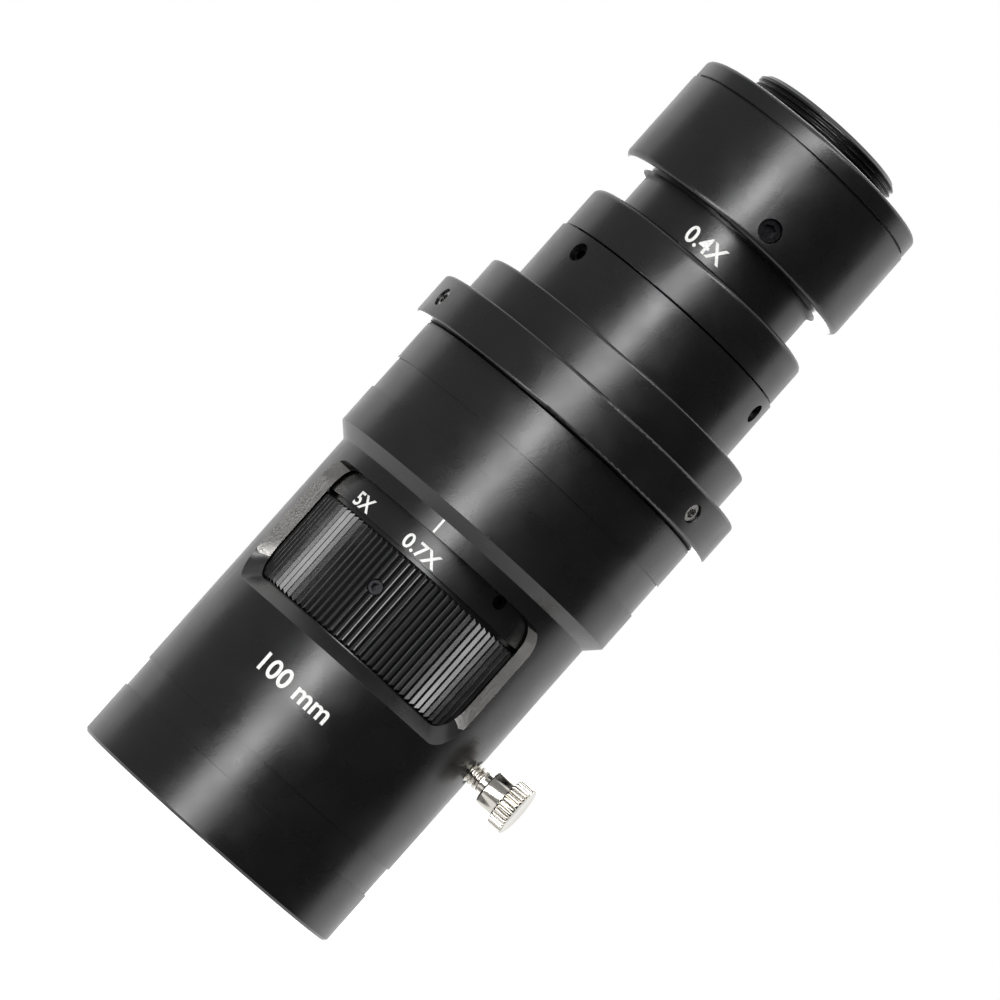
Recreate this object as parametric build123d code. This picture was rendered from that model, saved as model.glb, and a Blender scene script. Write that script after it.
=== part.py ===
from build123d import *
import os
from math import cos, radians, sin, sqrt

# A zoom lens for a video microscope, standing on its front rim. The lens axis is Z, the front rim
# lies at Z = 0 and the camera end is up. A turn is an angle about Z, from -Y towards +X, and the
# index mark and the middle of the front window are at turn 0. All sizes are in millimetres.

# Barrel
barrel_radius = 23.0
barrel_wall = 2.2
front_thread_length = 5.0
front_thread_relief = 0.7
band_base = 8.8
band_height = 4.9
band_depth = 0.25
window_base = 30.9
window_height = 22.3
window_half_turn = 60.0
window_bevel = 2.1
window_base_round = 4.5
window_top_round = 4.0
window_to_taper = 2.5
rim_bevel = 0.4

# Stand seat
seat_step = 2.0
seat_length = 18.9
seat_band_offset = 6.4
seat_band_height = 5.5
seat_wall = 3.0
seat_bevel = 0.3

# Stop collar and rear tube
shoulder_inset = 1.0
shoulder_height = 12.95
collar_wall = 3.5
collar_height = 6.7
tube_step = 4.0
tube_length = 10.4
tube_wall = 2.0
turned_round = 1.0
step_round = 0.5
small_round = 0.4

# Relay tube
seam_gap = 0.3
cap_inset = 0.3
cap_height = 6.95
neck_step = 4.2
neck_length = 6.45
neck_end_gap = 1.35
neck_lens_wall = 1.7
neck_lens_depth = 5.0
relay_spigot_length = 18.5
relay_lens_wall = 3.5
relay_lens_depth = 10.0

# Camera mount
housing_height = 14.9
housing_seat_depth = 4.2
housing_seat_step = 1.5
mount_groove_depth = 0.7
mount_groove_height = 0.4
mount_cap_inset = 0.15
mount_cap_height = 2.9
mount_cap_round = 0.8
camera_thread_step = 7.3
camera_thread_wall = 1.9
camera_thread_length = 3.85
camera_thread_relief = 0.7
camera_thread_bevel = 0.6
mouth_bevel = 0.8

# Zoom ring
ring_gap = 0.3
ring_wall = 2.5
skirt_height = 3.4
skirt_drop = 1.1
skirt_inset = 0.3
knurl_height = 15.15
knurl_teeth = 120
knurl_depth = 0.38
knurl_crest_share = 0.15
knurl_bevel = 0.45
knurl_backing = 0.4
knurl_overlap = 0.3
ring_groove_height = 0.65
ring_groove_depth = 0.9
scale_inset = 0.1
ring_top_rise = 4.0

# Zoom mechanism
zoom_turn = 325.7
cam_wall = 1.8
guide_wall = 1.8
running_gap = 0.08
slot_gap = 0.125
guide_flange_height = 4.0
guide_end_overlap = 2.0
pin_radius = 1.0
pin_depth = 1.2
pin_inset = 0.2
cell_wall = 1.8
cell_seat_height = 1.0
cell_clearance = 1.5
variator_travel = 16.0
variator_height = 7.0
compensator_travel = 5.0
compensator_height = 6.0
variator_pin_turn = 60.0
compensator_pin_turn = 240.0
compensator_headroom = 4.5
cam_overhang = 0.5
sleeve_ring_height = 2.8
sleeve_ring_wall = 2.8
sleeve_end_gap = 0.3

# Glass and what holds it
front_lens_inset = 4.2
seat_lip = 2.4
front_seat_height = 1.5
lens_rim = 3.2
flint_rim = 4.0
crown_rim = 1.4
neck_lens_rim = 2.6
relay_lens_rim = 6.4
front_crown_curve = 62.0
front_joint_curve = 48.0
variator_curve = -34.0
compensator_curve = 48.0
rear_lens_curve = 70.0
relay_front_curve = 55.0
relay_rear_curve = 80.0
ring_play = 0.05
lens_gap = 0.1
lens_ring_height = 1.6
ring_notch_width = 1.4
ring_notch_depth = 0.8
stop_disc_height = 1.2
stop_disc_margin = 1.7
aperture_radius = 6.0
rear_lens_radius = 14.9
rear_lens_seat = 2.0
rear_lens_rim = 3.0
rear_bore_height = 10.0

# Screws
fit_gap = 0.05
cut_margin = 1.0
screw_bevel = 0.1
set_screw_radius = 1.45
mount_screw_radius = 1.75
ring_screw_radius = 1.15
scale_screw_radius = 1.0
socket_share = 0.52
socket_depth = 1.2
screw_recess = 0.35
collar_screw_turns = (-58.2, 61.8, 181.8)
collar_screw_rise = 3.2
tube_screw_turns = (-39.5, 80.5, 200.5)
tube_screw_drop = 2.75
tube_screw_recess = 0.7
mount_screw_turns = (19.5, 139.5, 259.5)
mount_screw_rise = 3.1
mount_screw_recess = 0.9
ring_screw_turns = (-4.3, 115.7, 235.7)
ring_screw_rise = 9.1
scale_screw_turn = 37.6
scale_screw_rise = 3.3

# Thumb screw
thumb_turn = 90.0
thumb_height = 32.1
thumb_thread_radius = 1.75
thumb_relief_radius = 1.6
thumb_relief_length = 0.9
thumb_exposed = 3.1
thumb_tip_gap = 0.4
thumb_tip_bevel = 0.4
thumb_shoulder_radius = 2.9
thumb_shoulder_length = 3.1
thumb_head_radius = 3.95
thumb_head_length = 2.7
thumb_teeth = 32
thumb_tooth_depth = 0.3
thumb_crest_share = 0.4
thumb_bevel = 0.45
thumb_sink = 0.45

# Radii that follow from the sizes above
bore_radius = barrel_radius - barrel_wall
front_thread_radius = bore_radius + front_thread_relief
seat_radius = barrel_radius + seat_step
seat_bore = seat_radius - seat_wall
shoulder_radius = seat_radius - shoulder_inset
tube_radius = shoulder_radius - tube_step
tube_bore = tube_radius - tube_wall
spigot_radius = tube_bore - 2 * fit_gap
cap_radius = tube_radius - cap_inset
neck_radius = cap_radius - neck_step
housing_radius = tube_radius
housing_bore = neck_radius + 2 * fit_gap
housing_seat_radius = neck_radius + housing_seat_step
camera_thread_radius = housing_radius - camera_thread_step
throat_radius = camera_thread_radius - camera_thread_wall
ring_radius = bore_radius - ring_gap
ring_bore = ring_radius - ring_wall
cam_radius = ring_bore - 2 * fit_gap
cam_bore = cam_radius - cam_wall
guide_radius = cam_bore - running_gap
guide_bore = guide_radius - guide_wall
cell_radius = guide_bore - running_gap
cell_lens_radius = cell_radius - cell_wall
front_cell_radius = bore_radius - fit_gap
front_lens_radius = bore_radius - front_lens_inset
neck_lens_radius = neck_radius - neck_lens_wall
relay_throat_radius = neck_lens_radius - seat_lip / 2
relay_lens_radius = spigot_radius - relay_lens_wall

# Heights that follow from the sizes above
window_top = window_base + window_height
taper_base = window_top + window_to_taper
seat_base = taper_base + seat_step
seat_top = seat_base + seat_length
collar_top = seat_top + collar_height
shoulder_top = seat_top + shoulder_height
tube_top = shoulder_top + tube_length
cap_base = tube_top + seam_gap
cap_top = cap_base + cap_height
housing_base = cap_top + neck_length
housing_top = housing_base + housing_height
neck_top = housing_top - housing_seat_depth - neck_end_gap
mount_cap_base = housing_top + mount_groove_height
mount_cap_top = mount_cap_base + mount_cap_height
thread_top = mount_cap_top + camera_thread_length
guide_flange_base = seat_base + sleeve_end_gap
guide_flange_top = guide_flange_base + guide_flange_height
cam_top = guide_flange_base - 2 * sleeve_end_gap
ring_base = window_base - skirt_drop
knurl_base = ring_base + skirt_height
knurl_top = knurl_base + knurl_height
scale_base = knurl_top + ring_groove_height
ring_top = window_top + ring_top_rise
compensator_pin_height = guide_flange_base - compensator_headroom
compensator_base = compensator_pin_height - compensator_height / 2
variator_top_end = compensator_base - compensator_travel - cell_clearance
variator_base = variator_top_end - variator_travel - variator_height
variator_pin_height = variator_base + variator_height / 2
cam_base = variator_base - cam_overhang
sleeve_ring_top = cam_base - sleeve_end_gap
sleeve_ring_base = sleeve_ring_top - sleeve_ring_height
front_cell_top = sleeve_ring_base - sleeve_end_gap
guide_base = front_cell_top - guide_end_overlap
front_seat = guide_base - front_seat_height
front_cell_base = front_thread_length + 4 * fit_gap


def turned(*corners):
    """Revolve corners given as (radius, height), with a third number where the corner is round."""
    points = [(corner[0], 0, corner[1]) for corner in corners]
    section = make_face(Polyline(*points, close=True))
    for corner, point in zip(corners, points):
        if len(corner) == 3:
            section = fillet(section.vertices().sort_by_distance(point)[0], corner[2])
    return revolve(section, Axis.Z)


def tube(outer, inner, base, top):
    return turned((inner, base), (outer, base), (outer, top), (inner, top))


def outward(turn, height, reach=0.0):
    """A place on the wall whose own Z axis points away from the lens axis."""
    direction = Vector(sin(radians(turn)), -cos(radians(turn)), 0)
    return Plane(origin=direction * reach + Vector(0, 0, height), x_dir=(0, 0, 1), z_dir=direction).location


def radial_rod(turn, height, radius, start, end):
    return outward(turn, height, (start + end) / 2) * Cylinder(radius, end - start)


def set_screws(turns, height, radius, start, end):
    """Headless screws with hex sockets, one for each turn."""
    socket = extrude(RegularPolygon(radius * socket_share, 6, major_radius=False), -socket_depth)
    screw = Pos(0, 0, (start - end) / 2) * Cylinder(radius, end - start) - socket
    screw = chamfer(screw.edges().filter_by(GeomType.CIRCLE), screw_bevel)
    return [outward(turn, height, end) * screw for turn in turns]


def screw_holes(turns, height, radius, start, end):
    return [radial_rod(turn, height, radius + fit_gap, start, end) for turn in turns]


def toothed_disc(crest_radius, depth, teeth, crest_share, height):
    """A prism whose wall is V grooves between flat crests, as a straight knurl leaves it."""
    pitch = 360.0 / teeth
    points = []
    for tooth in range(teeth):
        for share, radius in ((-crest_share / 2, crest_radius), (crest_share / 2, crest_radius),
                              (0.5, crest_radius - depth)):
            angle = radians((tooth + share) * pitch)
            points.append((radius * cos(angle), radius * sin(angle)))
    return extrude(make_face(Polyline(*points, close=True)), height)


def bulge(curve, radius):
    """How far a spherical face of this curve rises over this radius; a hollow face has curve < 0."""
    if curve == 0:
        return 0.0
    side = 1 if curve > 0 else -1
    return curve - side * sqrt(curve * curve - radius * radius)


def lens(rim_radius, base, top, base_curve, top_curve):
    """A lens with its rim from base to top and a spherical or flat face at each end."""
    half = rim_radius / 2
    base_rise = bulge(base_curve, rim_radius)
    top_rise = bulge(top_curve, rim_radius)
    base_start = (0, 0, base - base_rise)
    base_middle = (half, 0, base - base_rise + bulge(base_curve, half))
    top_middle = (half, 0, top + top_rise - bulge(top_curve, half))
    top_end = (0, 0, top + top_rise)
    base_rim = (rim_radius, 0, base)
    top_rim = (rim_radius, 0, top)
    base_line = Line(base_start, base_rim)
    if base_curve:
        base_line = ThreePointArc(base_start, base_middle, base_rim)
    top_line = Line(top_rim, top_end)
    if top_curve:
        top_line = ThreePointArc(top_rim, top_middle, top_end)
    outline = [base_line, Line(base_rim, top_rim), top_line, Line(top_end, base_start)]
    return revolve(make_face(outline), Axis.Z)


def retaining_ring(outer, bore, base, top, notch_height):
    """A threaded ring with two spanner notches cut from one of its ends."""
    notch = Pos(0, 0, notch_height) * Box(2 * (outer + cut_margin), ring_notch_width, 2 * ring_notch_depth)
    return tube(outer, bore, base, top) - notch


def window_cutter():
    """One side opening: its ends are cut radially and its lower edge slopes outward."""
    inside = bore_radius - cut_margin
    outside = seat_radius + cut_margin
    slope = window_bevel / barrel_wall
    low_inside = window_base + (barrel_radius - inside) * slope
    low_outside = window_base + (barrel_radius - outside) * slope
    low_side = [(inside, 0, low_inside), (outside, 0, low_outside)]
    high_side = [(outside, 0, window_top), (inside, 0, window_top)]
    section = make_face(Polyline(*low_side, *high_side, close=True))
    cutter = revolve(section, Axis.Z, 2 * window_half_turn)
    ends = cutter.edges().filter_by(GeomType.LINE).filter_by(Axis.Z, reverse=True).sort_by(Axis.Z)
    cutter = fillet(ends[-2:], window_top_round)
    ends = cutter.edges().filter_by(GeomType.LINE).filter_by(Axis.Z, reverse=True).sort_by(Axis.Z)
    cutter = fillet(ends[:2], window_base_round)
    return Rot(0, 0, -90 - window_half_turn) * cutter


def make_main_barrel():
    band_top = band_base + band_height
    seat_band_base = seat_base + seat_band_offset
    seat_band_top = seat_band_base + seat_band_height
    body = turned(
        (front_thread_radius, 0),
        (barrel_radius - rim_bevel, 0),
        (barrel_radius, rim_bevel),
        (barrel_radius, band_base),
        (barrel_radius - band_depth, band_base),
        (barrel_radius - band_depth, band_top),
        (barrel_radius, band_top),
        (barrel_radius, taper_base),
        (seat_radius, seat_base),
        (seat_radius, seat_band_base),
        (seat_radius - band_depth, seat_band_base),
        (seat_radius - band_depth, seat_band_top),
        (seat_radius, seat_band_top),
        (seat_radius, seat_top - seat_bevel),
        (seat_radius - seat_bevel, seat_top),
        (seat_bore, seat_top),
        (seat_bore, guide_flange_base),
        (bore_radius, guide_flange_base),
        (bore_radius, front_thread_length),
        (front_thread_radius, front_thread_length),
    )
    window = window_cutter()
    body -= window
    body -= Rot(0, 0, 180) * window
    hole_radius = thumb_thread_radius + fit_gap
    body -= radial_rod(thumb_turn, thumb_height, hole_radius, bore_radius - cut_margin, seat_radius)
    sink = Cone(hole_radius, hole_radius + 2 * thumb_sink, 2 * thumb_sink)
    return body - outward(thumb_turn, thumb_height, barrel_radius) * sink


def make_front_cell():
    return turned(
        (front_lens_radius + lens_gap, front_cell_base),
        (front_cell_radius, front_cell_base),
        (front_cell_radius, front_cell_top),
        (guide_radius + fit_gap, front_cell_top),
        (guide_radius + fit_gap, guide_base),
        (front_lens_radius - seat_lip, guide_base),
        (front_lens_radius - seat_lip, front_seat),
        (front_lens_radius + lens_gap, front_seat),
    )


def make_front_optics():
    """A cemented pair on the cell's flat seat, and the ring that holds it from the front."""
    flint_base = front_seat - flint_rim
    crown_base = flint_base - crown_rim
    flint = lens(front_lens_radius, flint_base, front_seat, -front_joint_curve, 0)
    crown = lens(front_lens_radius, crown_base, flint_base, front_crown_curve, front_joint_curve)
    ring_bore_radius = front_lens_radius - seat_lip / 2
    rise = bulge(front_crown_curve, front_lens_radius) - bulge(front_crown_curve, ring_bore_radius)
    ring_top_height = crown_base - rise - ring_play
    ring_base_height = ring_top_height - lens_ring_height
    ring = retaining_ring(front_lens_radius + ring_play, ring_bore_radius, ring_base_height, ring_top_height,
                          ring_base_height)
    return crown, flint, ring


def straight_slot(turn, low, high):
    """A slot through the guide barrel, along the axis, with round ends."""
    reach = guide_radius + cut_margin
    start = guide_bore - cut_margin
    width = 2 * (pin_radius + slot_gap)
    middle = outward(turn, (low + high) / 2, (start + reach) / 2) * Box(high - low, width, reach - start)
    ends = [radial_rod(turn, height, width / 2, start, reach) for height in (low, high)]
    return middle + ends


def make_guide_barrel():
    stop_seat = guide_flange_top - stop_disc_height
    body = turned(
        (guide_bore, guide_base),
        (guide_radius, guide_base),
        (guide_radius, guide_flange_base),
        (seat_bore - fit_gap, guide_flange_base),
        (seat_bore - fit_gap, guide_flange_top),
        (guide_bore + stop_disc_margin, guide_flange_top),
        (guide_bore + stop_disc_margin, stop_seat),
        (guide_bore, stop_seat),
    )
    body -= straight_slot(variator_pin_turn, variator_pin_height, variator_pin_height + variator_travel)
    low = compensator_pin_height - compensator_travel
    return body - straight_slot(compensator_pin_turn, low, compensator_pin_height)


def cam_slot(turn, height, rise, left_handed):
    """A helical slot through the cam sleeve: the pin rides from one round end to the other."""
    middle = (cam_bore + cam_radius) / 2
    path = Helix(rise * 360.0 / zoom_turn, rise, middle, lefthand=left_handed)
    across = Plane(origin=path @ 0, x_dir=(1, 0, 0), z_dir=path % 0)
    width = 2 * (pin_radius + slot_gap)
    slot = sweep(across * Rectangle(cam_wall + cut_margin, width), path, is_frenet=True)
    slot = Pos(0, 0, height) * Rot(0, 0, turn - 90) * slot
    end_turn = turn - zoom_turn if left_handed else turn + zoom_turn
    for end, level in ((turn, height), (end_turn, height + rise)):
        slot += radial_rod(end, level, width / 2, cam_bore - cut_margin / 2, cam_radius + cut_margin / 2)
    return slot


def make_cam_sleeve():
    sleeve = tube(cam_radius, cam_bore, cam_base, cam_top)
    sleeve -= cam_slot(variator_pin_turn, variator_pin_height, variator_travel, False)
    low = compensator_pin_height - compensator_travel
    return sleeve - cam_slot(compensator_pin_turn + zoom_turn, low, compensator_travel, True)


def make_zoom_ring():
    root_radius = ring_radius - knurl_depth
    groove_radius = ring_radius - ring_groove_depth
    scale_radius = ring_radius - scale_inset
    inner_knurl = root_radius - knurl_backing
    core = turned(
        (ring_bore, ring_base),
        (ring_radius - skirt_inset, ring_base),
        (ring_radius - skirt_inset, knurl_base),
        (inner_knurl, knurl_base),
        (inner_knurl, knurl_top),
        (groove_radius, knurl_top),
        (groove_radius, scale_base),
        (scale_radius, scale_base),
        (scale_radius, ring_top),
        (ring_bore, ring_top),
    )
    knurl = Pos(0, 0, knurl_base) * toothed_disc(ring_radius, knurl_depth, knurl_teeth, knurl_crest_share,
                                                 knurl_height)
    knurl &= turned(
        (inner_knurl - knurl_overlap, knurl_base),
        (ring_radius - knurl_bevel, knurl_base),
        (ring_radius, knurl_base + knurl_bevel),
        (ring_radius, knurl_top - knurl_bevel),
        (ring_radius - knurl_bevel, knurl_top),
        (inner_knurl - knurl_overlap, knurl_top),
    )
    ring = core + knurl
    hole_start = ring_bore - cut_margin
    knurl_screw_height = knurl_base + ring_screw_rise
    scale_screw_height = scale_base + scale_screw_rise
    ring -= screw_holes(ring_screw_turns, knurl_screw_height, ring_screw_radius, hole_start, barrel_radius)
    return ring - screw_holes([scale_screw_turn], scale_screw_height, scale_screw_radius, hole_start,
                              barrel_radius)


def make_cell(base, height, pin_turn, pin_height):
    """A sliding lens cell: a flat seat at its top, an open mouth at its base and a blind pin hole."""
    top = base + height
    seat = top - cell_seat_height
    lens_bore = cell_lens_radius + lens_gap
    cell = turned(
        (lens_bore, base),
        (cell_radius, base),
        (cell_radius, top),
        (cell_lens_radius - seat_lip / 2, top),
        (cell_lens_radius - seat_lip / 2, seat),
        (lens_bore, seat),
    )
    return cell - radial_rod(pin_turn, pin_height, pin_radius, cell_radius - pin_depth,
                             cell_radius + cut_margin)


def make_pin(turn, height):
    return radial_rod(turn, height, pin_radius, cell_radius - pin_depth, ring_bore - pin_inset)


def cell_optics(base, height, base_curve):
    """The lens on a cell's flat seat, and the ring screwed in below it."""
    seat = base + height - cell_seat_height
    ring_bore_radius = cell_lens_radius - seat_lip / 2
    glass_base = seat - lens_rim
    glass = lens(cell_lens_radius, glass_base, seat, base_curve, 0)
    rise = bulge(base_curve, cell_lens_radius) - bulge(base_curve, ring_bore_radius)
    ring_top_height = glass_base - max(rise, 0) - ring_play
    ring_base_height = ring_top_height - lens_ring_height
    ring = retaining_ring(cell_lens_radius + ring_play, ring_bore_radius, ring_base_height, ring_top_height,
                          ring_base_height)
    return glass, ring


def make_rear_tube():
    base = guide_flange_top
    lens_seat = base + rear_lens_seat
    lens_bore = rear_lens_radius + lens_gap
    body = turned(
        (rear_lens_radius - seat_lip, base),
        (seat_bore - fit_gap, base),
        (seat_bore - fit_gap, seat_top),
        (shoulder_radius, seat_top),
        (shoulder_radius, shoulder_top, step_round),
        (tube_radius, shoulder_top),
        (tube_radius, tube_top),
        (tube_bore, tube_top),
        (tube_bore, lens_seat + rear_bore_height),
        (lens_bore, lens_seat + rear_bore_height),
        (lens_bore, lens_seat),
        (rear_lens_radius - seat_lip, lens_seat),
    )
    return body - screw_holes(tube_screw_turns, tube_top - tube_screw_drop, set_screw_radius,
                              tube_bore - cut_margin, tube_radius + cut_margin)


def make_rear_optics():
    seat = guide_flange_top + rear_lens_seat
    rim_top = seat + rear_lens_rim
    ring_bore_radius = rear_lens_radius - seat_lip / 2
    glass = lens(rear_lens_radius, seat, rim_top, 0, rear_lens_curve)
    rise = bulge(rear_lens_curve, rear_lens_radius) - bulge(rear_lens_curve, ring_bore_radius)
    ring_base_height = rim_top + rise + ring_play
    ring_top_height = ring_base_height + lens_ring_height
    ring = retaining_ring(rear_lens_radius + ring_play, ring_bore_radius, ring_base_height, ring_top_height,
                          ring_top_height)
    return glass, ring


def make_stop_collar():
    bore = shoulder_radius + fit_gap
    outer = shoulder_radius + collar_wall
    body = turned(
        (bore, seat_top),
        (outer, seat_top, small_round),
        (outer, collar_top, step_round),
        (bore, collar_top),
    )
    return body - screw_holes(collar_screw_turns, seat_top + collar_screw_rise, set_screw_radius,
                              bore - cut_margin, outer + cut_margin)


def make_relay_tube():
    base = cap_base - relay_spigot_length
    front_bore = relay_lens_radius + lens_gap
    rear_bore = neck_lens_radius + lens_gap
    rear_seat = neck_top - neck_lens_depth
    return turned(
        (front_bore, base),
        (spigot_radius, base),
        (spigot_radius, cap_base),
        (cap_radius, cap_base),
        (cap_radius, cap_top, turned_round),
        (neck_radius, cap_top),
        (neck_radius, neck_top),
        (rear_bore, neck_top),
        (rear_bore, rear_seat),
        (relay_throat_radius, rear_seat),
        (relay_throat_radius, base + relay_lens_depth),
        (front_bore, base + relay_lens_depth),
    )


def make_relay_front():
    """The doublet's plain stand-in at the relay's inner end, and the ring below it."""
    seat = cap_base - relay_spigot_length + relay_lens_depth
    glass_base = seat - relay_lens_rim
    ring_bore_radius = relay_lens_radius - seat_lip / 2
    glass = lens(relay_lens_radius, glass_base, seat, relay_front_curve, 0)
    rise = bulge(relay_front_curve, relay_lens_radius) - bulge(relay_front_curve, ring_bore_radius)
    ring_top_height = glass_base - rise - ring_play
    ring_base_height = ring_top_height - lens_ring_height
    ring = retaining_ring(relay_lens_radius + ring_play, ring_bore_radius, ring_base_height, ring_top_height,
                          ring_base_height)
    return glass, ring


def make_relay_rear():
    """The rear lens in the neck, with its ring above it."""
    seat = neck_top - neck_lens_depth
    rim_top = seat + neck_lens_rim
    ring_bore_radius = neck_lens_radius - seat_lip / 2
    glass = lens(neck_lens_radius, seat, rim_top, 0, relay_rear_curve)
    rise = bulge(relay_rear_curve, neck_lens_radius) - bulge(relay_rear_curve, ring_bore_radius)
    ring_base_height = rim_top + rise + ring_play
    ring_top_height = ring_base_height + lens_ring_height
    ring = retaining_ring(neck_lens_radius + ring_play, ring_bore_radius, ring_base_height, ring_top_height,
                          ring_top_height)
    return glass, ring


def make_c_mount_housing():
    seat = housing_top - housing_seat_depth
    body = turned(
        (housing_bore + mouth_bevel, housing_base),
        (housing_radius, housing_base, turned_round),
        (housing_radius, housing_top),
        (housing_seat_radius, housing_top),
        (housing_seat_radius, seat),
        (housing_bore, seat),
        (housing_bore, housing_base + mouth_bevel),
    )
    return body - screw_holes(mount_screw_turns, housing_base + mount_screw_rise, mount_screw_radius,
                              housing_bore - cut_margin, housing_radius + cut_margin)


def make_c_mount_flange():
    spigot = housing_seat_radius - fit_gap
    groove_radius = housing_radius - mount_groove_depth
    cap_edge = housing_radius - mount_cap_inset
    base = housing_top - housing_seat_depth + 2 * fit_gap
    return turned(
        (throat_radius, base),
        (spigot, base),
        (spigot, housing_top),
        (groove_radius, housing_top),
        (groove_radius, mount_cap_base),
        (cap_edge, mount_cap_base),
        (cap_edge, mount_cap_top, mount_cap_round),
        (camera_thread_radius - camera_thread_relief, mount_cap_top),
        (camera_thread_radius - camera_thread_relief, mount_cap_top + camera_thread_relief / 2),
        (camera_thread_radius, mount_cap_top + camera_thread_relief),
        (camera_thread_radius, thread_top - camera_thread_bevel),
        (camera_thread_radius - camera_thread_bevel, thread_top),
        (throat_radius, thread_top),
    )


def make_thumb_screw():
    tip = ring_radius - skirt_inset + thumb_tip_gap
    shoulder_base = barrel_radius + thumb_exposed
    head_base = shoulder_base + thumb_shoulder_length
    head_top = head_base + thumb_head_length
    stem = turned(
        (0, tip),
        (thumb_thread_radius - thumb_tip_bevel, tip),
        (thumb_thread_radius, tip + thumb_tip_bevel),
        (thumb_thread_radius, shoulder_base - thumb_relief_length),
        (thumb_relief_radius, shoulder_base - thumb_relief_length),
        (thumb_relief_radius, shoulder_base),
        (thumb_shoulder_radius, shoulder_base, small_round),
        (thumb_shoulder_radius, head_base),
        (0, head_base),
    )
    head = Pos(0, 0, head_base) * toothed_disc(thumb_head_radius, thumb_tooth_depth, thumb_teeth,
                                               thumb_crest_share, thumb_head_length)
    head &= turned(
        (0, head_base),
        (thumb_head_radius - thumb_bevel, head_base),
        (thumb_head_radius, head_base + thumb_bevel),
        (thumb_head_radius, head_top - thumb_bevel),
        (thumb_head_radius - thumb_bevel, head_top),
        (0, head_top),
    )
    return outward(thumb_turn, thumb_height) * (stem + head)


def make_parts():
    crown, flint, front_ring = make_front_optics()
    variator_lens, variator_ring = cell_optics(variator_base, variator_height, variator_curve)
    compensator_lens, compensator_ring = cell_optics(compensator_base, compensator_height,
                                                     compensator_curve)
    rear_lens, rear_lens_ring = make_rear_optics()
    relay_front_lens, relay_front_ring = make_relay_front()
    relay_rear_lens, relay_rear_ring = make_relay_rear()
    sleeve_ring = retaining_ring(guide_radius + sleeve_ring_wall, guide_radius + fit_gap, sleeve_ring_base,
                                 sleeve_ring_top, sleeve_ring_base)
    aperture = tube(guide_bore + stop_disc_margin - fit_gap, aperture_radius,
                    guide_flange_top - stop_disc_height, guide_flange_top)
    collar_screws = set_screws(collar_screw_turns, seat_top + collar_screw_rise, set_screw_radius,
                               shoulder_radius + 2 * fit_gap, shoulder_radius + collar_wall - screw_recess)
    tube_screws = set_screws(tube_screw_turns, tube_top - tube_screw_drop, set_screw_radius,
                             tube_bore, tube_radius - tube_screw_recess)
    mount_screws = set_screws(mount_screw_turns, housing_base + mount_screw_rise, mount_screw_radius,
                              housing_bore, housing_radius - mount_screw_recess)
    ring_screws = set_screws(ring_screw_turns, knurl_base + ring_screw_rise, ring_screw_radius,
                             ring_bore, ring_radius - screw_recess)
    scale_screw = set_screws([scale_screw_turn], scale_base + scale_screw_rise, scale_screw_radius,
                             ring_bore, ring_radius - scale_inset - screw_recess)
    return {
        "main_barrel": make_main_barrel(),
        "front_cell": make_front_cell(),
        "front_lens_crown": crown,
        "front_lens_flint": flint,
        "front_retaining_ring": front_ring,
        "guide_barrel": make_guide_barrel(),
        "sleeve_retaining_ring": sleeve_ring,
        "aperture_stop": aperture,
        "cam_sleeve": make_cam_sleeve(),
        "zoom_ring": make_zoom_ring(),
        "ring_set_screws": ring_screws,
        "scale_screw": scale_screw,
        "variator_cell": make_cell(variator_base, variator_height, variator_pin_turn, variator_pin_height),
        "variator_lens": variator_lens,
        "variator_retaining_ring": variator_ring,
        "variator_pin": make_pin(variator_pin_turn, variator_pin_height),
        "compensator_cell": make_cell(compensator_base, compensator_height, compensator_pin_turn,
                                      compensator_pin_height),
        "compensator_lens": compensator_lens,
        "compensator_retaining_ring": compensator_ring,
        "compensator_pin": make_pin(compensator_pin_turn, compensator_pin_height),
        "thumb_screw": make_thumb_screw(),
        "rear_tube": make_rear_tube(),
        "rear_lens": rear_lens,
        "rear_lens_ring": rear_lens_ring,
        "stop_collar": make_stop_collar(),
        "collar_set_screws": collar_screws,
        "tube_set_screws": tube_screws,
        "relay_tube": make_relay_tube(),
        "relay_front_lens": relay_front_lens,
        "relay_front_ring": relay_front_ring,
        "relay_rear_lens": relay_rear_lens,
        "relay_rear_ring": relay_rear_ring,
        "c_mount_housing": make_c_mount_housing(),
        "c_mount_flange": make_c_mount_flange(),
        "c_mount_set_screws": mount_screws,
    }


os.makedirs("parts", exist_ok=True)
for name, shape in make_parts().items():
    solids = shape if isinstance(shape, list) else [shape]
    node = Compound(children=[solid for piece in solids for solid in piece.solids()])
    export_step(node, f"parts/{name}.step")
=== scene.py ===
from math import ceil, cos, log, pi, radians, sin

import bmesh
import bpy
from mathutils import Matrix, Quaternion, Vector


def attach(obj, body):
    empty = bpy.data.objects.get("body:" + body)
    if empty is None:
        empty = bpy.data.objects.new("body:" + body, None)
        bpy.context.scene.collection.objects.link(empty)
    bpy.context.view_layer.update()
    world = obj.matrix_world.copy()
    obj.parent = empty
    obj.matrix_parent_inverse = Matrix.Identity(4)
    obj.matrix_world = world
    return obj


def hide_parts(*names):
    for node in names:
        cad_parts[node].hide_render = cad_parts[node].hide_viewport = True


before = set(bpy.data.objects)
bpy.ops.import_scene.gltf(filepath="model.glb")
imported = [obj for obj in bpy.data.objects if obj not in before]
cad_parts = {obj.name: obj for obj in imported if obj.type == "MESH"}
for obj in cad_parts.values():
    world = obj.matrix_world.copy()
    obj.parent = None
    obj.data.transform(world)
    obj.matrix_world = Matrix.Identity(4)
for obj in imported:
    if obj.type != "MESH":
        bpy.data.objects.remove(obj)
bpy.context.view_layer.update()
mm = 0.001
print("frame loaded with", len(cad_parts), "nodes")


# Small helpers for materials

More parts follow.
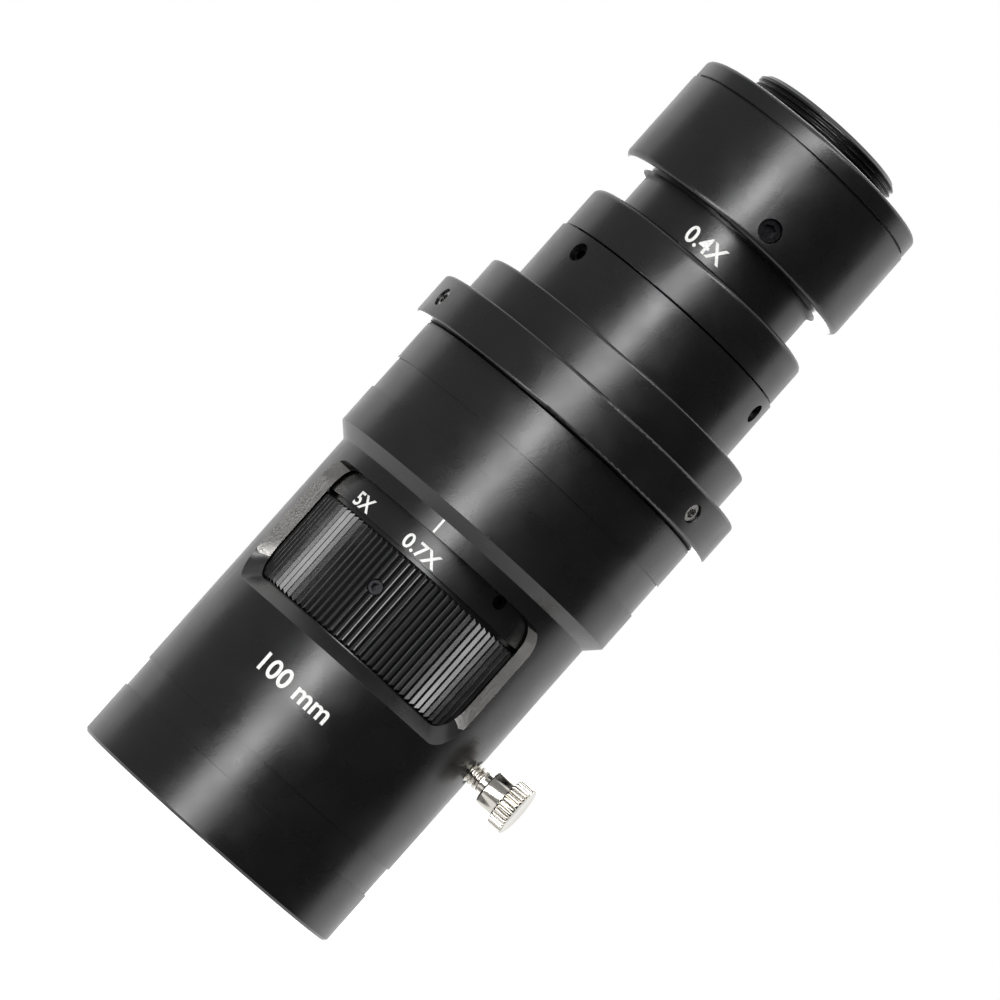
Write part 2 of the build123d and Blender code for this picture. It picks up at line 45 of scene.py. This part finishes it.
def fromHex(code):
    channels = [int(code[start:start + 2], 16) / 255 for start in (1, 3, 5)]
    return (*[c / 12.92 if c <= 0.04045 else ((c + 0.055) / 1.055) ** 2.4 for c in channels], 1)


def addNode(tree, kind, values=None, links=None, **settings):
    # one node, with its own settings, the values of its sockets and what feeds them
    node = tree.nodes.new(kind)
    for name, value in settings.items():
        setattr(node, name, value)
    for name, value in (values or {}).items():
        node.inputs[name].default_value = value
    for name, source in (links or {}).items():
        tree.links.new(source, node.inputs[name])
    return node


def newMaterial(name):
    material = bpy.data.materials.new(name)
    material.use_nodes = True
    material.node_tree.nodes.clear()
    return material


def finishMaterial(material, shader):
    tree = material.node_tree
    addNode(tree, "ShaderNodeOutputMaterial", links={"Surface": shader.outputs["BSDF"]})
    return material


noiseLow, noiseHigh = 0.3, 0.7  # most of a noise texture's values lie between these

# Bead-blasted and anodised aluminium: a matt black whose highlight breaks up into fine bright grain
blastedFinish = {
    "colour": "#0b0b0c",
    "colourInPits": "#121213",
    "ior": 1.65,              # the oxide skin, not the metal under it
    "roughness": 0.29,
    "roughnessDrift": 0.05,
    "driftMm": 6.0,
    "pitMm": 0.28,            # glass beads leave dimples near 0.08 mm, drawn coarser so that they show
    "pitDepthMm": 0.013,
}
# Knurled ring: the same dye over cut metal, so it is smoother and its crests shine
knurledFinish = dict(blastedFinish, roughness=0.24, pitMm=0.16, pitDepthMm=0.006)
# Turned parts inside the lens: satin black with fine tool lines
turnedFinish = dict(blastedFinish, roughness=0.4, pitMm=0.25, pitDepthMm=0.01)


def blackAnodised(name, finish):
    material = newMaterial(name)
    tree = material.node_tree
    place = addNode(tree, "ShaderNodeTexCoord").outputs["Object"]
    pits = addNode(tree, "ShaderNodeTexNoise", {"Scale": 1 / (finish["pitMm"] * mm), "Detail": 2.0,
                                                "Roughness": 0.6}, {"Vector": place})
    drift = addNode(tree, "ShaderNodeTexNoise", {"Scale": 1 / (finish["driftMm"] * mm), "Detail": 3.0},
                    {"Vector": place})
    rough = addNode(tree, "ShaderNodeMapRange",
                    {"From Min": noiseLow, "From Max": noiseHigh,
                     "To Min": finish["roughness"] - finish["roughnessDrift"],
                     "To Max": finish["roughness"] + finish["roughnessDrift"]},
                    {"Value": drift.outputs["Fac"]})
    dye = addNode(tree, "ShaderNodeMix",
                  {"A": fromHex(finish["colour"]), "B": fromHex(finish["colourInPits"])},
                  {"Factor": pits.outputs["Fac"]}, data_type="RGBA")
    relief = addNode(tree, "ShaderNodeBump", {"Strength": 1.0, "Distance": finish["pitDepthMm"] * mm},
                     {"Height": pits.outputs["Fac"]})
    shader = addNode(tree, "ShaderNodeBsdfPrincipled", {"IOR": finish["ior"]},
                     {"Base Color": dye.outputs["Result"], "Roughness": rough.outputs["Result"],
                      "Normal": relief.outputs["Normal"]})
    return finishMaterial(material, shader)


# Metals: each is bare or plated, so it takes the colour of the metal and mirrors the studio
milledFinish = {"colour": "#c4c2bf", "roughness": 0.55, "grainMm": 0.35, "grainDepthMm": 0.05}
nickelFinish = {"colour": "#dcd8d0", "roughness": 0.13, "grainMm": 0.5, "grainDepthMm": 0.003}
stainlessFinish = {"colour": "#b9b8b6", "roughness": 0.24, "grainMm": 0.3, "grainDepthMm": 0.004}
blackOxideFinish = {"colour": "#2a2a2c", "roughness": 0.3, "grainMm": 0.3, "grainDepthMm": 0.006}
brassFinish = {"colour": "#c6a25c", "roughness": 0.3, "grainMm": 0.3, "grainDepthMm": 0.004}
metalRoughSpan = (0.8, 1.2)  # the grain makes the metal smoother and rougher by these factors


def bareMetal(name, finish):
    material = newMaterial(name)
    tree = material.node_tree
    place = addNode(tree, "ShaderNodeTexCoord").outputs["Object"]
    grain = addNode(tree, "ShaderNodeTexNoise", {"Scale": 1 / (finish["grainMm"] * mm), "Detail": 3.0},
                    {"Vector": place})
    rough = addNode(tree, "ShaderNodeMapRange",
                    {"From Min": noiseLow, "From Max": noiseHigh,
                     "To Min": finish["roughness"] * metalRoughSpan[0],
                     "To Max": finish["roughness"] * metalRoughSpan[1]}, {"Value": grain.outputs["Fac"]})
    relief = addNode(tree, "ShaderNodeBump", {"Strength": 1.0, "Distance": finish["grainDepthMm"] * mm},
                     {"Height": grain.outputs["Fac"]})
    shader = addNode(tree, "ShaderNodeBsdfPrincipled",
                     {"Base Color": fromHex(finish["colour"]), "Metallic": 1.0},
                     {"Roughness": rough.outputs["Result"], "Normal": relief.outputs["Normal"]})
    return finishMaterial(material, shader)


# Coated optical glass: clear, with the faint violet bloom of an anti-reflection film
glassFinish = {"colour": "#f4f7f5", "ior": 1.58, "filmNm": 118.0, "filmIor": 1.38}


def coatedGlass(name, finish):
    material = newMaterial(name)
    shader = addNode(material.node_tree, "ShaderNodeBsdfPrincipled",
                     {"Base Color": fromHex(finish["colour"]), "Roughness": 0.0, "IOR": finish["ior"],
                      "Transmission Weight": 1.0, "Thin Film Thickness": finish["filmNm"],
                      "Thin Film IOR": finish["filmIor"]})
    return finishMaterial(material, shader)


# Screen-printed white ink: flat and opaque, slightly uneven where the blasted wall shows through
inkFinish = {"colour": "#f1f1ee", "thin": "#c9c9c6", "roughness": 0.5, "grainMm": 0.2,
             "thinBelow": 0.25, "fullAbove": 0.5}


def printedInk(name, finish):
    material = newMaterial(name)
    tree = material.node_tree
    place = addNode(tree, "ShaderNodeTexCoord").outputs["Object"]
    grain = addNode(tree, "ShaderNodeTexNoise", {"Scale": 1 / (finish["grainMm"] * mm), "Detail": 2.0},
                    {"Vector": place})
    cover = addNode(tree, "ShaderNodeMapRange",
                    {"From Min": finish["thinBelow"], "From Max": finish["fullAbove"]},
                    {"Value": grain.outputs["Fac"]})
    colour = addNode(tree, "ShaderNodeMix", {"A": fromHex(finish["thin"]), "B": fromHex(finish["colour"])},
                     {"Factor": cover.outputs["Result"]}, data_type="RGBA")
    shader = addNode(tree, "ShaderNodeBsdfPrincipled", {"Roughness": finish["roughness"]},
                     {"Base Color": colour.outputs["Result"]})
    return finishMaterial(material, shader)


blasted = blackAnodised("beadBlastedAnodisedAluminium", blastedFinish)
knurled = blackAnodised("knurledAnodisedAluminium", knurledFinish)
turnedBlack = blackAnodised("turnedAnodisedAluminium", turnedFinish)
milled = bareMetal("endMilledAluminium", milledFinish)
nickel = bareMetal("brightNickelPlate", nickelFinish)
stainless = bareMetal("stainlessSteel", stainlessFinish)
blackOxide = bareMetal("blackOxideSteel", blackOxideFinish)
brass = bareMetal("turnedBrass", brassFinish)
glass = coatedGlass("coatedOpticalGlass", glassFinish)
ink = printedInk("screenPrintedWhiteInk", inkFinish)
print("materials made:", len(bpy.data.materials))


# Finish of each CAD node
nodeFinishes = {
    blasted: ["main_barrel", "rear_tube", "stop_collar", "relay_tube", "c_mount_housing", "c_mount_flange"],
    knurled: ["zoom_ring"],
    turnedBlack: ["front_cell", "front_retaining_ring", "guide_barrel", "sleeve_retaining_ring",
                  "aperture_stop", "cam_sleeve", "variator_cell", "variator_retaining_ring",
                  "compensator_cell", "compensator_retaining_ring", "rear_lens_ring", "relay_front_ring",
                  "relay_rear_ring"],
    stainless: ["collar_set_screws"],
    blackOxide: ["ring_set_screws", "scale_screw", "tube_set_screws", "c_mount_set_screws"],
    brass: ["variator_pin", "compensator_pin"],
    nickel: ["thumb_screw"],
    glass: ["front_lens_crown", "front_lens_flint", "variator_lens", "compensator_lens", "rear_lens",
            "relay_front_lens", "relay_rear_lens"],
}
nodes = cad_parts
for material, names in nodeFinishes.items():
    for name in names:
        nodes[name].data.materials.clear()
        nodes[name].data.materials.append(material)


def finishFaces(node, material, belongs):
    # gives some faces of a node a second finish; the shape isn't touched
    mesh = node.data
    mesh.materials.append(material)
    index = len(mesh.materials) - 1
    for polygon in mesh.polygons:
        if belongs(polygon):
            polygon.material_index = index


# The window was milled through the finished tube, so its side walls are bare and coarse
window = {"base": 35.4 * mm, "top": 53.15 * mm, "aside": 12 * mm, "outwardLimit": 0.3, "uprightLimit": 0.85}


def isWindowSide(polygon):
    centre, normal = polygon.center, polygon.normal
    if not (window["base"] < centre.z < window["top"]):
        return False
    radial = Vector((centre.x, centre.y, 0)).normalized()
    facesAcross = abs(normal.dot(radial)) < window["outwardLimit"] and abs(normal.z) < window["uprightLimit"]
    return facesAcross and abs(centre.x) > window["aside"]


finishFaces(nodes["main_barrel"], milled, isWindowSide)

# The knurl is cut into a blasted ring
knurlBand = {"base": 33.15 * mm, "top": 48.4 * mm}
finishFaces(nodes["zoom_ring"], blasted,
            lambda polygon: not knurlBand["base"] < polygon.center.z < knurlBand["top"])


# Turned edges are broken by a light touch of the tool
edgeBreaksMm = {"main_barrel": 0.12, "rear_tube": 0.12, "relay_tube": 0.1,
                "c_mount_housing": 0.12}
edgeTool = {"weld": 0.0005 * mm, "flatAngle": 0.5, "segments": 2, "sharpAngle": 35}


def breakEdges(node, width):
    weld = node.modifiers.new("weld", "WELD")
    weld.merge_threshold = edgeTool["weld"]
    flats = node.modifiers.new("flats", "DECIMATE")
    flats.decimate_type = "DISSOLVE"
    flats.angle_limit = radians(edgeTool["flatAngle"])
    bevel = node.modifiers.new("edges", "BEVEL")
    bevel.width = width
    bevel.segments = edgeTool["segments"]
    bevel.limit_method = "ANGLE"
    bevel.angle_limit = radians(edgeTool["sharpAngle"])
    bevel.harden_normals = True


for name, width in edgeBreaksMm.items():
    node = nodes[name]
    attribute = node.data.attributes.get("custom_normal")
    if attribute:
        node.data.attributes.remove(attribute)
    breakEdges(node, width * mm)
print("CAD nodes finished")


# Turned and threaded pieces

def smoothShaded(mesh, angle=40):
    mesh.polygons.foreach_set("use_smooth", [True] * len(mesh.polygons))
    mesh.set_sharp_from_angle(angle=radians(angle))


def addPiece(name, mesh, material, body):
    mesh.materials.append(material)
    piece = bpy.data.objects.new(name, mesh)
    bpy.context.scene.collection.objects.link(piece)
    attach(piece, body)
    return piece


pointWeld = 0.00005 * mm


def turnedMesh(name, rows, segments, radiusAt, closed, toPlace=lambda point: point):
    # rows are (radius, height, kind); radiusAt(radius, height, kind, turn) shapes threads and knurls
    made = bmesh.new()
    rings = []
    for radius, height, kind in rows:
        ring = []
        for step in range(segments):
            turn = 2 * pi * step / segments
            reach = radiusAt(radius, height, kind, turn)
            ring.append(made.verts.new(toPlace(Vector((reach * sin(turn), -reach * cos(turn), height)))))
        rings.append(ring)
    pairs = list(zip(rings, rings[1:] + rings[:1])) if closed else list(zip(rings, rings[1:]))
    for low, high in pairs:
        for step in range(segments):
            after = (step + 1) % segments
            made.faces.new((low[step], low[after], high[after], high[step]))
    bmesh.ops.remove_doubles(made, verts=made.verts, dist=pointWeld)
    bmesh.ops.recalc_face_normals(made, faces=made.faces)
    mesh = bpy.data.meshes.new(name)
    made.to_mesh(mesh)
    made.free()
    smoothShaded(mesh)
    return mesh


threadFade = 0.4  # of a pitch, over which a thread fades in and out


def threadCut(height, turn, thread):
    # how deep a V thread is at this place
    phase = ((height - thread["base"]) / thread["pitch"] - turn / (2 * pi)) % 1.0
    valley = 1 - abs(2 * phase - 1)
    share = min(max((valley - thread["crest"]) / (1 - thread["crest"] - thread["root"]), 0.0), 1.0)
    inLow = min(max((height - thread["base"]) / (threadFade * thread["pitch"]), 0.0), 1.0)
    inHigh = min(max((thread["top"] - height) / (threadFade * thread["pitch"]), 0.0), 1.0)
    return thread["depth"] * share * inLow * inHigh


def threadRows(radius, thread, rowsPerPitch=18):
    count = ceil((thread["top"] - thread["base"]) / thread["pitch"] * rowsPerPitch)
    span = thread["top"] - thread["base"]
    return [(radius, thread["base"] + span * step / count, "thread") for step in range(count + 1)]


# Camera mount: cap and 32-threads-to-the-inch male thread
flange = {
    "throat": 10.8 * mm, "spigot": 16.95 * mm, "groove": 19.3 * mm, "cap": 19.85 * mm,
    "relief": 12.0 * mm, "thread": 12.7 * mm,
    "base": 124.45 * mm, "seat": 128.55 * mm, "capBase": 128.95 * mm, "capTop": 131.85 * mm,
    "top": 135.7 * mm, "reliefRise": 0.35 * mm, "round": 0.8 * mm, "edge": 0.12 * mm, "bevel": 0.6 * mm,
    "segments": 256,
}
cameraThread = {"base": 132.5 * mm, "top": 135.1 * mm, "pitch": 25.4 / 32 * mm, "depth": 0.45 * mm,
                "crest": 0.12, "root": 0.1}


def arcRows(centreRadius, centreHeight, size, start, end, steps=8):
    # a quarter round as rows; angles in degrees from straight out
    angles = [radians(start + (end - start) * step / steps) for step in range(steps + 1)]
    return [(centreRadius + size * cos(a), centreHeight + size * sin(a), "plain") for a in angles]


def makeFlange():
    f = flange
    edge = f["edge"]
    rows = [(f["throat"], f["base"], "plain"), (f["spigot"], f["base"], "plain"),
            (f["spigot"], f["seat"], "plain"), (f["groove"], f["seat"], "plain"),
            (f["groove"], f["capBase"], "plain"), (f["cap"] - edge, f["capBase"], "plain"),
            (f["cap"], f["capBase"] + edge, "plain")]
    rows += arcRows(f["cap"] - f["round"], f["capTop"] - f["round"], f["round"], 0, 90)
    rows += [(f["relief"], f["capTop"], "plain"), (f["relief"], f["capTop"] + f["reliefRise"], "plain")]
    rows += threadRows(f["thread"], cameraThread)
    rows += [(f["thread"] - f["bevel"], f["top"], "plain"), (f["throat"] + edge, f["top"], "plain"),
             (f["throat"], f["top"] - edge, "plain")]

    def radiusAt(radius, height, kind, turn):
        return radius - (threadCut(height, turn, cameraThread) if kind == "thread" else 0)

    return turnedMesh("camera_mount_flange", rows, f["segments"], radiusAt, True)


mountPiece = addPiece("camera_mount_flange", makeFlange(), blasted, "camera_mount")
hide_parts("c_mount_flange")

# Filter thread inside the front rim
frontThread = {"base": 0.5 * mm, "top": 4.8 * mm, "pitch": 0.75 * mm, "depth": 0.4 * mm, "crest": 0.12,
               "root": 0.1, "wall": 21.52 * mm, "inner": 21.1 * mm, "segments": 256}


def makeFrontThread():
    thread = frontThread
    rows = threadRows(thread["inner"], thread)
    rows += [(thread["wall"], thread["top"], "plain"), (thread["wall"], thread["base"], "plain")]

    def radiusAt(radius, height, kind, turn):
        return radius + (threadCut(height, turn, thread) if kind == "thread" else 0)

    return turnedMesh("filter_thread", rows, thread["segments"], radiusAt, True)


addPiece("filter_thread", makeFrontThread(), turnedBlack, "barrel")
print("threads cut")

# Thumb screw: turned, straight-knurled and nickel plated
thumb = {
    "height": 32.1 * mm, "tip": 20.6 * mm, "thread": 1.75 * mm, "tipBevel": 0.7 * mm,
    "reliefStart": 25.2 * mm, "relief": 1.6 * mm, "shoulderStart": 26.1 * mm, "shoulder": 2.9 * mm,
    "headStart": 29.2 * mm, "head": 3.95 * mm, "headEnd": 31.9 * mm,
    "round": 0.35 * mm, "bevel": 0.45 * mm, "teeth": 32, "toothDepth": 0.32 * mm, "crest": 0.42,
    "faceDish": 0.12 * mm, "faceRim": 0.99 * mm, "headLip": 0.15 * mm, "knurlRise": 0.01 * mm,
    "segments": 32 * 12,
}
thumbThread = {"base": 21.0 * mm, "top": 25.1 * mm, "pitch": 25.4 / 32 * mm, "depth": 0.42 * mm,
               "crest": 0.12, "root": 0.1}


def makeThumbScrew():
    t = thumb
    rows = [(0, t["tip"], "plain"), (t["thread"] - t["tipBevel"], t["tip"], "plain")]
    rows += threadRows(t["thread"], thumbThread)
    rows += [(t["thread"], t["reliefStart"], "plain"), (t["relief"], t["reliefStart"], "plain"),
             (t["relief"], t["shoulderStart"], "plain")]
    rows += arcRows(t["shoulder"] - t["round"], t["shoulderStart"] + t["round"], t["round"], -90, 0, 5)
    rows += [(t["shoulder"], t["headStart"], "plain"),
             (t["head"] - t["bevel"] - t["headLip"], t["headStart"], "plain")]
    rows += arcRows(t["head"] - t["bevel"], t["headStart"] + t["bevel"], t["bevel"], -90, 0, 6)
    rows += [(t["head"], t["headEnd"] - t["bevel"], "knurl")]
    rows += arcRows(t["head"] - t["bevel"], t["headEnd"] - t["bevel"], t["bevel"], 0, 90, 6)
    rows += [(t["head"] - t["faceRim"], t["headEnd"] - t["faceDish"], "plain"),
             (0, t["headEnd"] - t["faceDish"], "plain")]
    knurlStart = t["headStart"] + t["knurlRise"]
    shaped = [(radius, height, "knurl" if height > knurlStart and radius > t["shoulder"] else kind)
              for radius, height, kind in rows]

    def radiusAt(radius, height, kind, turn):
        if kind == "thread":
            return radius - threadCut(height, turn, thumbThread)
        if kind == "knurl":
            place = abs(2 * ((turn * t["teeth"] / (2 * pi)) % 1.0) - 1)
            groove = max(place - t["crest"], 0) / (1 - t["crest"]) * t["toothDepth"]
            return min(radius, t["head"] - groove)
        return radius

    return turnedMesh("thumb_screw_nickel", shaped, t["segments"], radiusAt, False,
                      lambda point: Vector((point.z, point.y, t["height"] - point.x)))


thumbPiece = addPiece("thumb_screw_nickel", makeThumbScrew(), nickel, "lock_screw")
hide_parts("thumb_screw")
print("thumb screw made")


# Print on the walls: white figures on the zoom scale, the neck and the barrel

def wrapOnWall(made, wall, turn, height):
    # bends flat work, whose x runs to the right and whose z stands off the wall, round a cylinder
    for vertex in made.verts:
        angle = turn + vertex.co.x / wall
        reach = wall + vertex.co.z
        vertex.co = Vector((reach * sin(angle), -reach * cos(angle), height + vertex.co.y))


def sliceAcross(made, step):
    low = min(v.co.x for v in made.verts)
    high = max(v.co.x for v in made.verts)
    for count in range(1, ceil((high - low) / step)):
        bmesh.ops.bisect_plane(made, geom=made.verts[:] + made.edges[:] + made.faces[:],
                               plane_co=(low + count * step, 0, 0), plane_no=(1, 0, 0))


lettering = {"thickness": 0.5, "curveSteps": 6, "slice": 0.3 * mm, "weld": 0.0005 * mm}


def flatFigures(text, capHeight, narrow, weight, film):
    curve = bpy.data.curves.new("figures", "FONT")
    curve.body = text
    curve.align_x = "CENTER"
    curve.extrude = lettering["thickness"]
    curve.offset = weight
    curve.resolution_u = lettering["curveSteps"]
    holder = bpy.data.objects.new("figures", curve)
    bpy.context.scene.collection.objects.link(holder)
    graph = bpy.context.evaluated_depsgraph_get()
    mesh = bpy.data.meshes.new_from_object(holder.evaluated_get(graph))
    made = bmesh.new()
    made.from_mesh(mesh)
    bpy.data.objects.remove(holder)
    bpy.data.curves.remove(curve)
    bpy.data.meshes.remove(mesh)
    tall = max(v.co.y for v in made.verts)
    scale = capHeight / tall
    middle = (max(v.co.x for v in made.verts) + min(v.co.x for v in made.verts)) / 2
    for vertex in made.verts:
        vertex.co.x = (vertex.co.x - middle) * scale * narrow
        vertex.co.y *= scale
        vertex.co.z *= film
    return made


def addPrint(name, made, wall, turn, height, body):
    bmesh.ops.remove_doubles(made, verts=made.verts, dist=lettering["weld"])
    sliceAcross(made, lettering["slice"])
    wrapOnWall(made, wall, radians(turn), height)
    bmesh.ops.recalc_face_normals(made, faces=made.faces)
    mesh = bpy.data.meshes.new(name)
    made.to_mesh(mesh)
    made.free()
    return addPiece(name, mesh, ink, body)


inkFilm = 0.03 * mm
zoomScale = {"wall": 20.4 * mm, "base": 49.3 * mm, "capHeight": 2.2 * mm, "narrow": 1.03, "weight": 0.018,
             "low": 0.7, "high": 5.0, "fullTurn": 325.7, "camShape": 0.935,
             "marks": {"0.7": "0.7X", "1": "1X", "2": "2X", "3": "3X", "4": "4X", "5": "5X"}}
for power, label in zoomScale["marks"].items():
    share = log(float(power) / zoomScale["low"]) / log(zoomScale["high"] / zoomScale["low"])
    figures = flatFigures(label, zoomScale["capHeight"], zoomScale["narrow"], zoomScale["weight"], inkFilm)
    addPrint("scale_figure_" + power.replace(".", "_"), figures, zoomScale["wall"],
             share ** zoomScale["camShape"] * zoomScale["fullTurn"], zoomScale["base"], "zoom")

barrelPrint = {"text": "100 mm", "wall": 23.0 * mm, "turn": 0.0, "base": 22.9 * mm, "capHeight": 2.9 * mm,
               "narrow": 1.0, "weight": 0.018}
neckPrint = {"text": "0.4X", "wall": 15.5 * mm, "turn": 1.6, "base": 108.45 * mm, "capHeight": 2.65 * mm,
             "narrow": 0.92, "weight": 0.018}
for name, body, label in (("working_distance", "barrel", barrelPrint), ("tube_factor", "relay", neckPrint)):
    figures = flatFigures(label["text"], label["capHeight"], label["narrow"], label["weight"], inkFilm)
    addPrint(name, figures, label["wall"], label["turn"], label["base"], body)

indexLine = {"wall": 23.0 * mm, "width": 0.33 * mm, "base": 53.35 * mm, "height": 2.3 * mm}


def makeIndexLine():
    made = bmesh.new()
    bmesh.ops.create_cube(made, size=1)
    for vertex in made.verts:
        vertex.co.x *= indexLine["width"]
        vertex.co.y = (vertex.co.y + 0.5) * indexLine["height"]
        vertex.co.z *= inkFilm
    return made


addPrint("index_line", makeIndexLine(), indexLine["wall"], 0.0, indexLine["base"], "barrel")
print("print laid on the walls")


# Studio: camera, white sweep, softbox and black flags
studio = {
    "cameraTurn": 10.7, "cameraDistance": 768 * mm, "cameraHeight": 23.4 * mm, "aimHeight": 64.1 * mm,
    "aimAside": -0.3 * mm, "roll": 41.6, "focalPixels": 5338, "imagePixels": 1000, "sensor": 36,
    "clipStart": 0.05, "clipEnd": 50, "plainLevel": 0.55,
    "floorColour": "#e6e6e6", "floorLift": 0.72, "floorRadius": 6, "floorSides": 96,
}


def outward(turn):
    return Vector((sin(radians(turn)), -cos(radians(turn)), 0))


def makeCamera():
    data = bpy.data.cameras.new("camera")
    camera = bpy.data.objects.new("camera", data)
    bpy.context.scene.collection.objects.link(camera)
    towards = outward(studio["cameraTurn"])
    sideways = outward(studio["cameraTurn"] + 90)
    place = towards * studio["cameraDistance"] + Vector((0, 0, studio["cameraHeight"]))
    aim = sideways * studio["aimAside"] + Vector((0, 0, studio["aimHeight"]))
    camera.rotation_mode = "QUATERNION"
    camera.location = place
    level = (aim - place).to_track_quat("-Z", "Y")
    camera.rotation_quaternion = level @ Quaternion((0, 0, 1), radians(studio["roll"]))
    data.sensor_width = studio["sensor"]
    data.lens = studio["focalPixels"] / studio["imagePixels"] * studio["sensor"]
    data.clip_start = studio["clipStart"]
    data.clip_end = studio["clipEnd"]
    bpy.context.scene.camera = camera


makeCamera()


def seenDirectly(tree):
    # 1 for rays from the camera, mirrors and glass, 0 for the rays that light the object
    path = addNode(tree, "ShaderNodeLightPath")
    mirror = addNode(tree, "ShaderNodeMath", operation="MAXIMUM",
                     links={0: path.outputs["Is Camera Ray"], 1: path.outputs["Is Glossy Ray"]})
    seen = addNode(tree, "ShaderNodeMath", operation="MAXIMUM",
                   links={0: mirror.outputs[0], 1: path.outputs["Is Transmission Ray"]})
    return seen.outputs[0]


def makeWorld():
    world = bpy.data.worlds.new("studioWhite")
    bpy.context.scene.world = world
    world.use_nodes = True
    tree = world.node_tree
    tree.nodes.clear()
    level = addNode(tree, "ShaderNodeMapRange", {"To Min": studio["plainLevel"], "To Max": 1.0},
                    {"Value": seenDirectly(tree)})
    light = addNode(tree, "ShaderNodeBackground", {"Color": (1, 1, 1, 1)},
                    {"Strength": level.outputs["Result"]})
    addNode(tree, "ShaderNodeOutputWorld", links={"Surface": light.outputs["Background"]})


makeWorld()


def addStageObject(name, mesh, material):
    mesh.materials.append(material)
    thing = bpy.data.objects.new(name, mesh)
    bpy.context.scene.collection.objects.link(thing)
    return thing


def makeFloor():
    material = newMaterial("paleFloor")
    tree = material.node_tree
    diffuse = addNode(tree, "ShaderNodeBsdfDiffuse", {"Color": fromHex(studio["floorColour"])})
    lift = addNode(tree, "ShaderNodeMath", {1: studio["floorLift"]}, {0: seenDirectly(tree)},
                   operation="MULTIPLY")
    glow = addNode(tree, "ShaderNodeEmission", {"Color": (1, 1, 1, 1)}, {"Strength": lift.outputs[0]})
    both = addNode(tree, "ShaderNodeAddShader",
                   links={0: diffuse.outputs["BSDF"], 1: glow.outputs["Emission"]})
    addNode(tree, "ShaderNodeOutputMaterial", links={"Surface": both.outputs["Shader"]})
    made = bmesh.new()
    bmesh.ops.create_circle(made, cap_ends=True, segments=studio["floorSides"], radius=studio["floorRadius"])
    mesh = bpy.data.meshes.new("floor")
    made.to_mesh(mesh)
    made.free()
    floorPlane = addStageObject("floor", mesh, material)
    floorPlane.visible_glossy = False


makeFloor()

# Cards that only reflections see: turns are counted from the camera, brightness is that of white at 1
cards = {
    "softbox": {"left": -23.0, "right": -5.0, "low": -500, "high": 900, "reach": 640, "slant": 0.0577,
                "brightness": 8.0},
    "fill_card": {"left": -112.0, "right": -14.0, "low": -700, "high": 1100, "reach": 700, "slant": 0.0,
                  "brightness": 0.26},
    "black_card": {"left": -14.0, "right": 103.0, "low": -700, "high": 1100, "reach": 700, "slant": 0.0,
                   "brightness": 0.045},
    "rear_softbox": {"left": 172.0, "right": 188.0, "low": -300, "high": 900, "reach": 640, "slant": 0.0,
                     "brightness": 4.0},
}

cardGrid = {"across": 24, "up": 12, "slantHeight": 105}  # a slanted card keeps its turns at this height


def makeCard(name, card):
    material = newMaterial(name)
    tree = material.node_tree
    glow = addNode(tree, "ShaderNodeEmission", {"Color": (1, 1, 1, 1), "Strength": card["brightness"]})
    addNode(tree, "ShaderNodeOutputMaterial", links={"Surface": glow.outputs["Emission"]})
    across, up = cardGrid["across"], cardGrid["up"]
    made = bmesh.new()
    grid = []
    for row in range(up + 1):
        height = card["low"] + (card["high"] - card["low"]) * row / up
        shift = card["slant"] * (height - cardGrid["slantHeight"])
        turns = [card["left"] + (card["right"] - card["left"]) * column / across + shift
                 for column in range(across + 1)]
        grid.append([made.verts.new(outward(studio["cameraTurn"] + turn) * card["reach"] * mm
                                    + Vector((0, 0, height * mm))) for turn in turns])
    for low, high in zip(grid, grid[1:]):
        for column in range(across):
            made.faces.new((low[column], low[column + 1], high[column + 1], high[column]))
    mesh = bpy.data.meshes.new(name)
    made.to_mesh(mesh)
    made.free()
    thing = addStageObject(name, mesh, material)
    thing.visible_camera = False
    thing.visible_diffuse = False
    thing.visible_transmission = False
    thing.visible_shadow = False


for name, card in cards.items():
    makeCard(name, card)

keyLamp = {"turn": -25.0, "height": 500 * mm, "reach": 800 * mm, "size": 500 * mm, "power": 6.0}


def makeKeyLamp():
    data = bpy.data.lights.new("key", "AREA")
    data.shape = "DISK"
    data.size = keyLamp["size"]
    data.energy = keyLamp["power"]
    lamp = bpy.data.objects.new("key", data)
    bpy.context.scene.collection.objects.link(lamp)
    lamp.location = outward(studio["cameraTurn"] + keyLamp["turn"]) * keyLamp["reach"] + Vector(
        (0, 0, keyLamp["height"]))
    aim = Vector((0, 0, studio["aimHeight"])) - lamp.location
    lamp.rotation_mode = "QUATERNION"
    lamp.rotation_quaternion = aim.to_track_quat("-Z", "Y")
    lamp.visible_camera = False
    lamp.visible_glossy = False


makeKeyLamp()

view = bpy.context.scene.view_settings
view.view_transform = "Standard"
print("studio set")
